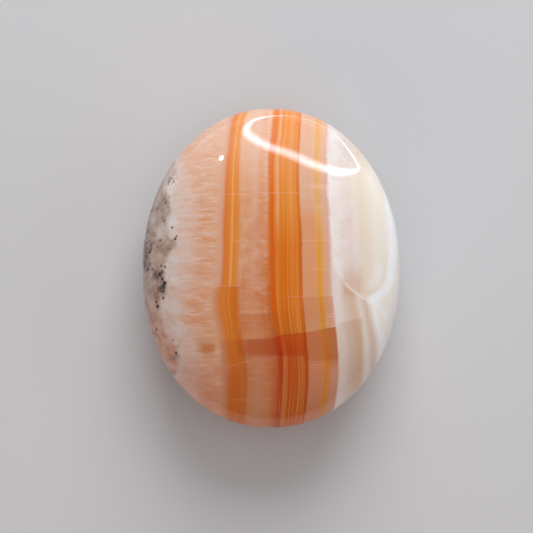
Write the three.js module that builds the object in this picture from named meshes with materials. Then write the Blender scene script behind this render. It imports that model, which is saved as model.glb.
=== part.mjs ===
// A palm stone: one piece of banded calcite, ground and polished to a thick, rounded oval that fills the palm.
// It lies on its back on a small flat spot, with its domed face up.
// Millimetres. X runs across the stone, Y along it and Z up, and the origin is the middle of the resting spot.

import * as THREE from "three";
import { mergeVertices } from "three/addons/utils/BufferGeometryUtils.js";

// Driving dimensions
const WIDTH = 57.2; // across the oval, along X
const LENGTH = 71.0; // along the oval, along Y
const THICKNESS = 26.0; // from the resting spot to the crown of the face
const RESTING_SHARE = 0.2; // the flat spot's size, as a share of the oval's

// Shape of the oval and of the section
const OVAL_EXPONENT = 2.09; // 2 is an ellipse, and more is fuller between its ends and sides
const EGG_SHARE = 0.012; // how much wider the stone is than the oval at its near end, and narrower at its far end
const SECTION_EXPONENT = 2.2; // the same, for the section from the crown over the rim to the back

// The face and the back are equal domes, and the flat spot takes a little off the lower one
const BACK_SHARE = Math.pow(1 - Math.pow(RESTING_SHARE, SECTION_EXPONENT), 1 / SECTION_EXPONENT);
const DOME_HEIGHT = THICKNESS / (1 + BACK_SHARE);
const GIRDLE_HEIGHT = THICKNESS - DOME_HEIGHT; // where the stone is widest, above the resting spot

// Fineness of the facets
const FACETS_AROUND = 96;
const RINGS_ON_FACE = 25;
const RINGS_ON_BACK = 22;

const STONE_COLOUR = 0xdca27c; // the orange, peach and cream bands taken together
const STONE_ROUGHNESS = 0.08; // a lapidary polish

// A sine or cosine raised to the power that turns a circle into a superellipse, with its sign kept.
function superellipse(value, exponent) {
  return Math.sign(value) * Math.pow(Math.abs(value), 2 / exponent);
}

// Half of the stone's section, from the middle of the resting spot, round the rim, to the crown.
// Each point's x is its share of the way from the axis to the girdle, and its y is its height.
function sectionProfile() {
  const restingAngle = Math.asin(Math.pow(RESTING_SHARE, SECTION_EXPONENT / 2));
  const points = [new THREE.Vector2(0, 0), new THREE.Vector2(RESTING_SHARE, 0)];
  for (let ring = 1; ring <= RINGS_ON_BACK; ring++) {
    const angle = THREE.MathUtils.lerp(restingAngle, Math.PI / 2, ring / RINGS_ON_BACK);
    const share = superellipse(Math.sin(angle), SECTION_EXPONENT);
    const height = GIRDLE_HEIGHT - DOME_HEIGHT * superellipse(Math.cos(angle), SECTION_EXPONENT);
    points.push(new THREE.Vector2(share, height));
  }
  for (let ring = RINGS_ON_FACE - 1; ring > 0; ring--) {
    const angle = (Math.PI / 2) * (ring / RINGS_ON_FACE);
    const share = superellipse(Math.sin(angle), SECTION_EXPONENT);
    const height = GIRDLE_HEIGHT + DOME_HEIGHT * superellipse(Math.cos(angle), SECTION_EXPONENT);
    points.push(new THREE.Vector2(share, height));
  }
  points.push(new THREE.Vector2(0, THICKNESS));
  return points;
}

// Turns the section into a round body, and draws that out to the oval, ring by ring.
function stoneGeometry() {
  const turned = new THREE.LatheGeometry(sectionProfile(), FACETS_AROUND).rotateX(Math.PI / 2);
  turned.deleteAttribute("normal");
  turned.deleteAttribute("uv");
  const places = turned.getAttribute("position");
  for (let i = 0; i < places.count; i++) {
    const share = Math.hypot(places.getX(i), places.getY(i));
    const angle = Math.atan2(places.getY(i), places.getX(i));
    const along = share * superellipse(Math.sin(angle), OVAL_EXPONENT);
    const across = share * superellipse(Math.cos(angle), OVAL_EXPONENT) * (1 - EGG_SHARE * along);
    places.setXY(i, (across * WIDTH) / 2, (along * LENGTH) / 2);
  }
  const stone = mergeVertices(turned, 1e-4);
  stone.computeVertexNormals();
  return stone;
}

const polish = new THREE.MeshStandardMaterial({
  color: STONE_COLOUR,
  roughness: STONE_ROUGHNESS,
  metalness: 0,
});

const stone = new THREE.Mesh(stoneGeometry(), polish);
stone.name = "stone";

const palmStone = new THREE.Group();
palmStone.name = "palm_stone";
palmStone.add(stone);

export default palmStone;
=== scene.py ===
"""Dresses a palm stone of banded calcite that lies on its back on a pale floor and is seen from above.

Sizes are in millimetres, in the frame of the CAD model, and only the meshes, lights and camera are in metres.
"""

import logging
import math
from collections.abc import Iterable, Iterator
from dataclasses import dataclass
from enum import Enum

import bmesh
import bpy
import numpy as np
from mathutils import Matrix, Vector


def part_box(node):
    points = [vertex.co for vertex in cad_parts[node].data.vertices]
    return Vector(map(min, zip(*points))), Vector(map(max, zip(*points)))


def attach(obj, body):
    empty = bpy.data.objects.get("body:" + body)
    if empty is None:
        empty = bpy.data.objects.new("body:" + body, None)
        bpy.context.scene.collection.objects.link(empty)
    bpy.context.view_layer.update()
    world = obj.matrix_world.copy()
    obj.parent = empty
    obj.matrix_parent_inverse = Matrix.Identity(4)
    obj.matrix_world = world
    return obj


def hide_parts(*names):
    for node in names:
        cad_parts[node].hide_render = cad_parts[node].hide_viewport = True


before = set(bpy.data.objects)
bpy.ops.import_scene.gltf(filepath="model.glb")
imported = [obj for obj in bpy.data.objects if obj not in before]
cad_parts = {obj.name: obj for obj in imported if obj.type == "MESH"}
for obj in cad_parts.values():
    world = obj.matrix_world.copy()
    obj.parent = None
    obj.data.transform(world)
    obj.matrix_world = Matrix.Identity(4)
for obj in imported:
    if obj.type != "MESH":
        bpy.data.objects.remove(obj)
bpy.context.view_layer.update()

METRES = 0.001  # metres in a millimetre
IMAGE_PIXELS = 533  # the side of the square picture
log = logging.getLogger("palm_stone")

Socket = bpy.types.NodeSocket
Pair = tuple[float, float]
Ramp = tuple[float, float, float, float]  # two values, and the strengths that they are turned into
Stops = Iterable[tuple[float, object]]  # places in rising order, each with its colour or height


def linear(hex_colour: str) -> tuple[float, float, float, float]:
    """Turns an sRGB colour into the linear one that Blender works in.

    Args:
        hex_colour: The colour as "#RRGGBB".

    Returns:
        Red, green, blue and alpha, each from 0 to 1.
    """
    parts = [int(hex_colour[i:i + 2], 16) / 255 for i in (1, 3, 5)]
    red, green, blue = (p / 12.92 if p <= 0.04045 else ((p + 0.055) / 1.055) ** 2.4 for p in parts)
    return red, green, blue, 1.0


@dataclass(frozen=True)
class Coat:
    """A coat of colour over what is there. It is as strong as its shares, multiplied."""

    shares: tuple[object, ...]  # sockets and numbers, and tuples of a socket and the Ramp that it takes
    tone: object  # its sRGB colour, or a socket
    multiply: bool = False  # whether it multiplies the colour under it, and doesn't hide it


class Graph:
    """The node tree of one material."""

    CHOICES = {
        "Math": "operation", "VectorMath": "operation", "MapRange": "interpolation_type", "Mix": "blend_type",
    }

    def __init__(self, material: bpy.types.Material) -> None:
        """Clears the material's own nodes.

        Args:
            material: The material.
        """
        material.use_nodes = True
        self.tree = material.node_tree
        self.tree.nodes.clear()

    def add(self, kind: str, *links: object, output: int = 0, stops: Stops = (),
            **settings: object) -> object:
        """Adds a node with its settings and links.

        Args:
            kind: Blender's name for the node, without "ShaderNode", and its choice in CHOICES after a point.
            links: What goes into its inputs, in order or in one dictionary: sockets and plain values.
            output: Which of its outputs is wanted.
            stops: The places of a ramp or curve, from 0 to 1.
            settings: The node's other properties.

        Returns:
            The wanted output, or the node itself if it has none.
        """
        kind, _, choice = kind.partition(".")
        node = self.tree.nodes.new("ShaderNode" + kind)
        if choice:
            settings[self.CHOICES[kind]] = choice
        for name, value in settings.items():
            setattr(node, name, value)
        named = bool(links) and isinstance(links[0], dict)
        for key, value in links[0].items() if named else enumerate(links):
            if isinstance(value, Socket):
                self.tree.links.new(value, node.inputs[key])
            else:
                node.inputs[key].default_value = value
        for i, (place, value) in enumerate(stops):
            if kind == "ValToRGB":
                stop = node.color_ramp.elements[i] if i < 2 else node.color_ramp.elements.new(place)
                stop.position, stop.color = place, value
            else:
                points = node.mapping.curves[0].points
                stop = points[i] if i < 2 else points.new(place, value)
                stop.location = place, value
                node.mapping.update()
        return node.outputs[output] if node.outputs else node

    def between(self, value: object, low: object, high: object, soft: float) -> Socket:
        """Masks the stretch from low to high, with edges that fade over soft.

        Args:
            value: What is measured.
            low: Where the stretch starts.
            high: Where it ends.
            soft: How wide each edge is.

        Returns:
            1 within the stretch and 0 outside it.
        """
        start = self.add("Math.SUBTRACT", value, low)
        end = self.add("Math.SUBTRACT", high, value)
        nearest = self.add("Math.MINIMUM", start, end)
        return self.add("MapRange.SMOOTHSTEP", nearest, -soft / 2, soft / 2, 0.0, 1.0)

    def course(self, value: object, first: float, last: float, stops: Stops) -> Socket:
        """Reads the colour at a value off a course of colours.

        Args:
            value: What is measured.
            first: Where the course starts.
            last: Where it ends.
            stops: The colours at places between those.

        Returns:
            The colour.
        """
        share = self.add("MapRange", value, first, last, 0.0, 1.0)
        shares = [((place - first) / (last - first), colour) for place, colour in stops]
        return self.add("ValToRGB", share, stops=shares)

    def bend(self, share: object, half: float, middle: float, swing: float, points: Iterable[Pair]) -> Socket:
        """Reads a height off a curve.

        Args:
            share: How far along the curve the height is wanted, from 0 at -half to 1 at half.
            half: Half the curve's length.
            middle: The height that the others are near.
            swing: The most that they differ from it.
            points: The points of the curve, each as its place and height.

        Returns:
            The height.
        """
        stops = [(0.5 + at / (2 * half), 0.5 + (height - middle) / (2 * swing)) for at, height in points]
        curve = self.add("FloatCurve", {"Value": share}, stops=stops)
        return self.add("Math.MULTIPLY_ADD", curve, 2 * swing, middle - swing)

    def lay(self, colour: object, coats: Iterable[Coat]) -> Socket:
        """Lays coats over a colour, one after another.

        Args:
            colour: What is there so far.
            coats: The coats, in order.

        Returns:
            The colour with its coats.
        """
        for coat in coats:
            parts = [self.add("MapRange", *part) if isinstance(part, tuple) else part for part in coat.shares]
            strength = parts[0]
            for part in parts[1:]:
                strength = self.add("Math.MULTIPLY", strength, part)
            tone = linear(coat.tone) if isinstance(coat.tone, str) else coat.tone
            kind = "Mix.MULTIPLY" if coat.multiply else "Mix.MIX"
            colour = self.add(kind, {0: strength, 6: colour, 7: tone}, output=2, data_type="RGBA")
        return colour


@dataclass(frozen=True)
class StoneForm:
    """The ground shape: an oval, with equal domes above and below it and a small flat to lie on."""

    width: float  # across the oval
    length: float  # along the oval
    thickness: float  # from the resting flat to the crown
    oval_exponent: float = 2.09  # 2 is an ellipse, and more is fuller between its ends and sides
    egg_share: float = 0.012  # how much wider the near end is, as a share of the width
    section_exponent: float = 2.2  # the same as oval_exponent, for the section over the rim
    resting_share: float = 0.2  # the flat's size, as a share of the oval's

    @property
    def dome(self) -> float:
        """How far a whole dome stands out from the widest line."""
        p = self.section_exponent
        return self.thickness / (1 + (1 - self.resting_share ** p) ** (1 / p))

    @property
    def girdle(self) -> float:
        """How high the widest line lies above the floor."""
        return self.thickness - self.dome

    def share(self, x: np.ndarray, y: np.ndarray) -> np.ndarray:
        """How far out a place lies, from 0 on the axis to 1 on the girdle.

        Args:
            x: Its place across the stone.
            y: Its place along the stone.

        Returns:
            The share.
        """
        along = y / (self.length / 2)
        across = x / (self.width / 2) / (1 - self.egg_share * along)
        n = self.oval_exponent
        return (np.abs(across) ** n + np.abs(along) ** n) ** (1 / n)

    def face_height(self, x: float, y: float) -> float:
        """How high the domed face is over a place.

        Args:
            x: Its place across the stone.
            y: Its place along the stone.

        Returns:
            The height, or that of the girdle outside it.
        """
        out = min(1.0, float(self.share(np.array(x), np.array(y))))
        p = self.section_exponent
        return self.girdle + self.dome * (1 - out ** p) ** (1 / p)

    def level(self, places: np.ndarray) -> np.ndarray:
        """Under 1 inside the stone, 1 on its surface and over 1 outside it, the resting flat left out."""
        up = np.abs(places[:, 2] - self.girdle) / self.dome
        return self.share(places[:, 0], places[:, 1]) ** self.section_exponent + up ** self.section_exponent

    def normals(self, places: np.ndarray) -> np.ndarray:
        """Finds which way the surface faces, the resting flat left out.

        Args:
            places: Points on it, one a row.

        Returns:
            The outward direction at each.
        """
        step = 1e-3
        slopes = [self.level(places + move) - self.level(places - move) for move in np.eye(3) * step]
        slope = np.stack(slopes, axis=1)
        return slope / np.linalg.norm(slope, axis=1, keepdims=True)

    def reach(self, directions: np.ndarray) -> np.ndarray:
        """Where rays from the middle of the stone leave it.

        Args:
            directions: One direction a row, as seen on a unit ball.

        Returns:
            The places on the surface, with those under the resting flat lifted onto it.
        """
        n, p = self.oval_exponent, self.section_exponent
        x, y, z = np.abs(directions).T
        size = ((x ** n + y ** n) ** (p / n) + z ** p) ** (1 / p)
        places = directions * (self.width / 2, self.length / 2, self.dome) / size[:, None]
        places[:, 0] *= 1 - self.egg_share * places[:, 1] / (self.length / 2)
        places[:, 2] = np.maximum(places[:, 2] + self.girdle, 0.0)
        return places


@dataclass(frozen=True)
class Guide:
    """A growth surface that the bands beside it follow, given by its trace on the face."""

    place: float  # where it lies in the row of bands, which is its x in the middle of the stone
    lean: float  # how far it moves across for each millimetre up
    trace: tuple[Pair, ...]  # places on the face that it passes, as y and x


@dataclass(frozen=True)
class Band:
    """A colour band, as a stretch of the row of bands."""

    start: float  # its edge nearer the host rock
    end: float  # its edge nearer the white zone
    colour: str  # its sRGB colour
    soft: float = 0.3  # how wide its edges are


@dataclass(frozen=True)
class Patch:
    """A ragged patch on the face."""

    x: float  # its middle, across the stone
    y: float  # its middle, along the stone
    half_x: float = 1.0  # half its size across the stone
    half_y: float = 1.0  # half its size along the stone
    strength: float = 0.85  # how far it colours the stone


@dataclass(frozen=True)
class Fields:
    """The sockets that every layer of the stone's colour is drawn from, in millimetres."""

    graph: Graph  # the material's nodes
    place: Socket  # where the shaded point is in the stone
    x: Socket  # its part across the stone
    y: Socket  # its part along the stone
    z: Socket  # its part up
    growth: Socket  # its place in the row of bands
    edge: Socket  # how far it lies from the host rock, under 0 in the rock
    RAGGEDNESS = 3.0  # how far noise moves the edge of a patch, in its half sizes
    RIM = 2.8  # how far out a patch has faded, with that

    def streaks(self, width: float, length: float) -> Socket:
        """Clouds that are drawn out along the fibres, mostly from 0.3 to 0.7."""
        drawn = self.graph.add("VectorMath.MULTIPLY", self.place, (1 / length, 1 / width, 1 / (3 * width)))
        return self.graph.add("TexNoise", {"Vector": drawn, "Scale": 1.0, "Detail": 3.0, "Roughness": 0.55})

    def offset(self, spot: Patch) -> Socket:
        """The way there from the middle of a patch, in shares of the patch's half sizes."""
        away = self.graph.add("VectorMath.SUBTRACT", self.place, (spot.x, spot.y, 0.0))
        return self.graph.add("VectorMath.MULTIPLY", away, (1 / spot.half_x, 1 / spot.half_y, 0.0))

    def patches(self, rough: object, core: float, spots: Iterable[Patch], under: object = 0.0) -> Socket:
        """Masks ragged patches.

        Args:
            rough: The noise that makes them ragged.
            core: How far out from their middle they are whole.
            spots: The patches.
            under: What is masked already.

        Returns:
            How strong the patches are.
        """
        for spot in spots:
            far = self.graph.add("VectorMath.LENGTH", self.offset(spot), output=1)
            far = self.graph.add("Math.MULTIPLY_ADD", rough, self.RAGGEDNESS, far)
            patch = self.graph.add("MapRange.SMOOTHSTEP", far, core, self.RIM, spot.strength, 0.0)
            under = self.graph.add("Math.MAXIMUM", under, patch)
        return under


@dataclass(frozen=True)
class GrowthSurfaces:
    """How the bands run through the stone: nearly upright sheets that fan out and wander a little."""

    # The surfaces whose traces were read off the stone, from its left to its right
    guides: tuple[Guide, ...] = (
        Guide(-10.4, -0.26, (
            (34.0, -8.05), (27.5, -9.1), (20.5, -9.9), (14.8, -10.1), (8.3, -10.4), (0.0, -10.5),
            (-3.4, -10.8), (-6.9, -11.5), (-13.4, -10.4), (-19.9, -9.3), (-23.4, -9.05), (-28.5, -9.4),
            (-33.1, -9.5))),
        Guide(-6.9, -0.2, (
            (33.8, -5.5), (28.0, -6.6), (21.4, -6.9), (8.3, -6.9), (-3.6, -7.3), (-11.2, -7.0), (-16.6, -6.3),
            (-19.9, -5.8), (-26.6, -5.6), (-33.0, -6.0))),
        Guide(-0.2, -0.1, (
            (34.5, 0.8), (30.2, 0.5), (25.8, -0.1), (14.8, -0.2), (-6.9, -0.2), (-11.2, 0.2), (-15.5, 0.8),
            (-19.9, 1.3), (-24.3, 1.3), (-32.9, 0.9))),
        Guide(6.7, 0.0, (
            (30.3, 6.6), (21.3, 6.2), (14.8, 6.3), (8.3, 6.7), (-6.9, 7.1), (-15.6, 7.9), (-24.3, 8.3),
            (-33.0, 7.5))),
        Guide(12.6, 0.12, (
            (30.9, 12.6), (25.8, 12.3), (19.2, 12.2), (14.8, 12.4), (6.1, 12.9), (-4.7, 13.2), (-11.2, 13.8),
            (-21.1, 14.6), (-29.0, 14.1))),
    )
    # The surface between the host rock and the calcite
    rock_edge: Guide = Guide(-22.0, -0.3, (
        (27.5, -26.0), (24.6, -22.6), (22.4, -21.0), (20.0, -21.2), (18.0, -23.4), (16.2, -22.8),
        (14.1, -22.6), (12.4, -21.8), (10.4, -22.8), (8.1, -22.9), (6.4, -21.8), (5.2, -20.8), (3.8, -21.8),
        (1.8, -23.0), (-0.8, -23.7), (-3.1, -23.0), (-5.2, -22.8), (-7.6, -24.4), (-11.0, -24.0),
        (-14.2, -23.2), (-16.2, -21.6), (-18.2, -20.3), (-21.5, -20.6), (-25.0, -22.0), (-29.0, -24.0)))
    half_length: float = 36.0  # half the length that the traces are laid out over
    swing: float = 12.0  # the most that a trace moves to either side
    waver: float = 0.12  # how far the bands' edges tremble
    waver_length: float = 3.0  # over what length they do
    wander: float = 7.0  # how far the bands stray under the girdle, where nothing shows their course
    wander_length: float = 26.0  # over what length they do

    def trace(self, graph: Graph, form: StoneForm, guide: Guide, y_share: object, z: object) -> Socket:
        """Finds where a guide lies across the stone.

        Args:
            graph: The material's nodes.
            form: The stone's shape, which tells how high on the face each place of the trace is.
            guide: The surface.
            y_share: How far along the stone the shaded point is, from 0 to 1.
            z: How high it is.

        Returns:
            The guide's x at that y and z.
        """
        points = sorted((y, x - guide.lean * form.face_height(x, y)) for y, x in guide.trace)
        base = graph.bend(y_share, self.half_length, guide.place, self.swing, points)
        return graph.add("Math.MULTIPLY_ADD", z, guide.lean, base)

    def fields(self, graph: Graph, form: StoneForm) -> Fields:
        """Lays out the coordinates of the stone.

        Args:
            graph: The material's nodes.
            form: The stone's shape.

        Returns:
            The sockets that the colour layers read.
        """
        in_metres = graph.add("TexCoord", output=3)
        still = graph.add("VectorMath.MULTIPLY", in_metres, (1 / METRES,) * 3)
        height = graph.add("SeparateXYZ", still, output=2)
        hidden = graph.add("MapRange.SMOOTHSTEP", height, form.girdle, 0.0, 0.0, 2 * self.wander)
        slow = {"Vector": still, "Scale": 1 / self.wander_length, "Detail": 1.0}
        drift = graph.add("TexNoise", slow, output=1)
        centred = graph.add("VectorMath.SUBTRACT", drift, (0.5, 0.5, 0.5))
        moved = graph.add("VectorMath.SCALE", {0: centred, "Scale": hidden})
        place = graph.add("VectorMath.ADD", still, moved)
        x, y, z = graph.add("SeparateXYZ", place).node.outputs
        y_share = graph.add("MapRange", y, -self.half_length, self.half_length, 0.0, 1.0)

        traces = [self.trace(graph, form, guide, y_share, z) for guide in self.guides]
        shifts = [graph.add("Math.SUBTRACT", trace, guide.place) for trace, guide in zip(traces, self.guides)]
        growth = graph.add("Math.SUBTRACT", x, shifts[0])
        for i in range(1, len(traces)):
            past = graph.add("MapRange", x, traces[i - 1], traces[i], 0.0, 1.0)
            change = graph.add("Math.SUBTRACT", shifts[i - 1], shifts[i])
            growth = graph.add("Math.MULTIPLY_ADD", change, past, growth)
        tremble = graph.add("TexNoise", {"Vector": place, "Scale": 1 / self.waver_length, "Detail": 2.0})
        tremble = graph.add("Math.SUBTRACT", tremble, 0.5)
        growth = graph.add("Math.MULTIPLY_ADD", tremble, 2 * self.waver, growth)

        rock = self.trace(graph, form, self.rock_edge, y_share, z)
        return Fields(graph, place, x, y, z, growth, graph.add("Math.SUBTRACT", x, rock))


@dataclass(frozen=True)
class ColourBands:
    """The bands that iron stained as the calcite grew, from the fibrous zone to the white one."""

    # The bands up to the first two orange ones
    left: tuple[Band, ...] = (
        Band(-30.0, -21.5, "#D9C5BA", 1.0), Band(-19.5, -18.0, "#DBBFB2", 1.0),
        Band(-16.0, -11.9, "#DAA98B", 0.6), Band(-11.3, -10.7, "#DAA488", 0.4),
        Band(-10.15, -10.0, "#D57D3E", 0.1), Band(-9.85, -9.0, "#DE7D27", 0.2),
        Band(-8.95, -8.7, "#E28C40", 0.1), Band(-8.55, -8.35, "#E4A468", 0.12),
        Band(-8.15, -7.35, "#DF8831", 0.2),
    )
    # The peach bands from there to the main orange ones
    shoulder: tuple[Band, ...] = (
        Band(-6.6, -4.4, "#D79C74", 0.4), Band(-3.9, -3.4, "#D8A184"), Band(-2.9, -2.6, "#D6997A"),
        Band(-1.6, -1.4, "#D79061", 0.2), Band(-0.6, -0.5, "#D48350", 0.1), Band(-0.2, 0.0, "#D27428", 0.1),
    )
    # The same, nearer the far end, where they are milkier
    far_shoulder: tuple[Band, ...] = (
        Band(-6.6, -4.4, "#D89D74", 0.4), Band(-3.9, -3.0, "#D8A182", 0.4), Band(-2.4, -1.5, "#D79466"),
        Band(-1.15, -0.9, "#DAA07C", 0.1), Band(-0.75, -0.6, "#D6915F", 0.1),
        Band(-0.25, 0.1, "#D96A08", 0.1),
    )
    # All of these, nearer the near end, where the first orange bands have run together
    lower_left: tuple[Band, ...] = (
        Band(-30.0, -21.0, "#D9BFB2", 1.0), Band(-19.5, -18.0, "#DBB9A8", 1.0),
        Band(-16.0, -11.9, "#DAA584", 0.6), Band(-11.7, -11.3, "#D59872", 0.4),
        Band(-10.0, -9.4, "#D97B28", 0.6), Band(-9.0, -8.3, "#D97F2E", 0.4),
        Band(-7.9, -6.95, "#D0711C", 0.5), Band(-6.6, -5.2, "#D28C5E", 0.5), Band(-4.3, -3.6, "#D39068", 0.4),
        Band(-3.1, -2.8, "#D28C62"), Band(-1.5, -1.3, "#CF804C", 0.2), Band(-0.6, -0.4, "#CB6E34", 0.2),
    )
    # The main orange bands
    main: tuple[Band, ...] = (
        Band(0.15, 1.0, "#D56000", 0.2), Band(1.3, 1.75, "#DB7B24", 0.12), Band(1.95, 4.0, "#D97414", 0.15),
        Band(4.15, 4.65, "#DE7F2A", 0.2), Band(4.85, 6.0, "#DA771C", 0.15), Band(6.22, 6.46, "#CC5F0C", 0.08),
    )
    # The same, nearer the far end, where more pale lines run in them
    far_main: tuple[Band, ...] = (
        Band(0.05, 0.6, "#D96A08", 0.2), Band(0.95, 1.2, "#DD8A3C", 0.12), Band(1.4, 1.7, "#E1A070", 0.12),
        Band(2.0, 2.3, "#DC8026", 0.12), Band(2.5, 3.1, "#DE8E3C", 0.12), Band(3.3, 3.95, "#DC862C", 0.12),
        Band(4.15, 4.6, "#E1934C", 0.15), Band(4.85, 6.0, "#DC8836", 0.15), Band(6.22, 6.46, "#D36D18", 0.08),
    )
    # The same, nearer the near end, where the first one is wide and red; all are darker there, which is
    # partly painted shade
    near_main: tuple[Band, ...] = (
        Band(-0.15, 1.1, "#C03D00", 0.2), Band(1.3, 1.4, "#D27A34", 0.06), Band(1.6, 1.95, "#D57E3C", 0.12),
        Band(2.15, 4.1, "#CC6014", 0.15), Band(4.3, 4.6, "#D2782C", 0.12), Band(4.85, 6.05, "#CE6A1E", 0.15),
        Band(6.25, 6.45, "#C25814", 0.1),
    )
    # The bands from there to the white zone
    peach: tuple[Band, ...] = (
        Band(6.65, 8.9, "#DB9B71", 0.1), Band(9.4, 9.55, "#DD9F66", 0.1), Band(9.8, 10.3, "#E39A36", 0.2),
        Band(10.8, 10.95, "#DEA46C", 0.1), Band(11.5, 11.8, "#DCA98C", 0.2), Band(12.3, 12.8, "#DBA88F", 0.2),
    )
    # The same, nearer the far end, where the golden one is wide and pale
    far_peach: tuple[Band, ...] = (
        Band(6.65, 9.2, "#DB9B71", 0.1), Band(9.7, 10.9, "#E0AA6E", 0.5), Band(11.35, 12.0, "#DBAE96"),
        Band(12.3, 12.8, "#D59E82", 0.2),
    )
    # The white zone
    right: tuple[Band, ...] = (
        Band(12.75, 14.6, "#EDE4E2", 0.35), Band(16.2, 17.6, "#E6D8D2", 0.6),
        Band(18.1, 18.4, "#E8DCD4", 0.2), Band(19.2, 20.6, "#E6D7C7", 0.6), Band(22.9, 24.0, "#ECE4D9", 0.8),
        Band(24.6, 25.2, "#ECE4D9", 0.4), Band(26.2, 30.0, "#EFEDEA", 1.0),
    )
    # The same, below the rounded growth knob
    lower_right: tuple[Band, ...] = (
        Band(12.75, 13.1, "#E9DDD9"), Band(13.35, 13.65, "#E7DAD5", 0.2), Band(13.9, 14.3, "#E8DBD5"),
        Band(15.1, 15.7, "#DFCCC1", 0.5), Band(16.8, 18.4, "#DDC1AC", 0.5),
        Band(19.3, 19.75, "#E8DAD1", 0.35), Band(20.5, 21.6, "#DEC7B6", 0.5),
        Band(22.6, 23.6, "#F8F5F4", 0.7), Band(24.8, 30.0, "#F1EBE4", 0.6),
    )
    lower_merge: Pair = (-3.2, -4.2)  # between which places along the stone lower_left takes over
    far_merge: Pair = (5.0, 13.0)  # the same for the rows of the far end
    near_merge: Pair = (-14.5, -19.5)  # the same for near_main
    side_merge: Pair = (-0.25, 0.25)  # between which places in the row the main bands take over
    slide: Ramp = (16.0, 27.0, 0.0, 6.0)  # how far the fibrous zone slides out of the row towards the far end
    slide_limit: float = -13.0  # left of this it does
    fuzzy: Pair = (-14.0, -6.0)  # between which places along the stone the white zone's edge gets ragged
    fuzz: float = 0.8  # how ragged it gets
    fuzz_size: tuple[float, float, float] = (0.9, 1.3, 1.3)  # how large its tatters are
    white_edge: Ramp = (-14.0, -2.0, -0.35, -0.85)  # where along the stone it sets in how much earlier
    white_whole: float = 0.45  # how far behind its edge the zone is whole
    spread: float = 0.018  # how much wider the lower right bands get for each millimetre up from spread_from
    spread_from: float = -16.0  # where along the stone they have their own width
    last: float = 30.0  # where the last row ends

    def row(self, graph: Graph, growth: object, bands: tuple[Band, ...]) -> Socket:
        """Lays one row of bands.

        Args:
            graph: The material's nodes.
            growth: The place in the row of bands.
            bands: The bands, in order.

        Returns:
            Their colour.
        """
        stops = []
        for band in bands:
            colour = linear(band.colour)
            stops += [(band.start + band.soft / 2, colour), (band.end - band.soft / 2, colour)]
        return graph.course(growth, bands[0].start, self.last, stops)

    def paint(self, at: Fields, below_knob: object) -> Socket:
        """Lays all the rows.

        Args:
            at: The stone's coordinates.
            below_knob: 1 below the growth knob and 0 elsewhere.

        Returns:
            The colour of the bands.
        """
        graph = at.graph
        add = graph.add
        lift = add("MapRange", at.y, *self.slide)
        lifted = add("Math.ADD", at.growth, lift)
        least = add("Math.MAXIMUM", at.growth, self.slide_limit)
        lifted = add("Math.MINIMUM", lifted, least)
        merges = (self.lower_merge, self.far_merge, self.near_merge)
        lower, far, near = (add("MapRange", at.y, *merge, 0.0, 1.0) for merge in merges)
        left = graph.lay(self.row(graph, lifted, self.left + self.shoulder), (
            Coat((far,), self.row(graph, lifted, self.left + self.far_shoulder)),
            Coat((lower,), self.row(graph, at.growth, self.lower_left))))
        main = graph.lay(self.row(graph, at.growth, self.main + self.peach), (
            Coat((far,), self.row(graph, at.growth, self.far_main + self.far_peach)),
            Coat((near,), self.row(graph, at.growth, self.near_main + self.peach))))

        first = self.right[0].start
        stretch = add("MapRange", at.y, self.spread_from, 0.0, 1.0, 1.0 - self.spread * self.spread_from)
        inside = add("Math.SUBTRACT", at.growth, first)
        spread = add("Math.MULTIPLY_ADD", inside, stretch, first)
        right = graph.lay(self.row(graph, at.growth, self.right), (
            Coat((below_knob,), self.row(graph, spread, self.lower_right)),))

        drawn = add("VectorMath.MULTIPLY", at.place, tuple(1 / size for size in self.fuzz_size))
        rough = add("TexNoise", {"Vector": drawn, "Scale": 1.0, "Detail": 2.0, "Roughness": 0.6})
        rough = add("Math.SUBTRACT", rough, 0.5)
        fuzz = add("MapRange", at.y, *self.fuzzy, 0.0, self.fuzz)
        ragged = add("Math.MULTIPLY_ADD", rough, fuzz, at.growth)
        low, high, early, earliest = self.white_edge
        edge = add("MapRange", at.y, low, high, first + early, first + earliest)
        past = add("MapRange.SMOOTHSTEP", at.growth, *self.side_merge, 0.0, 1.0)
        white = add("MapRange.SMOOTHSTEP", ragged, edge, first + self.white_whole, 0.0, 1.0)
        return graph.lay(left, (Coat((past,), main), Coat((white,), right)))


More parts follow.
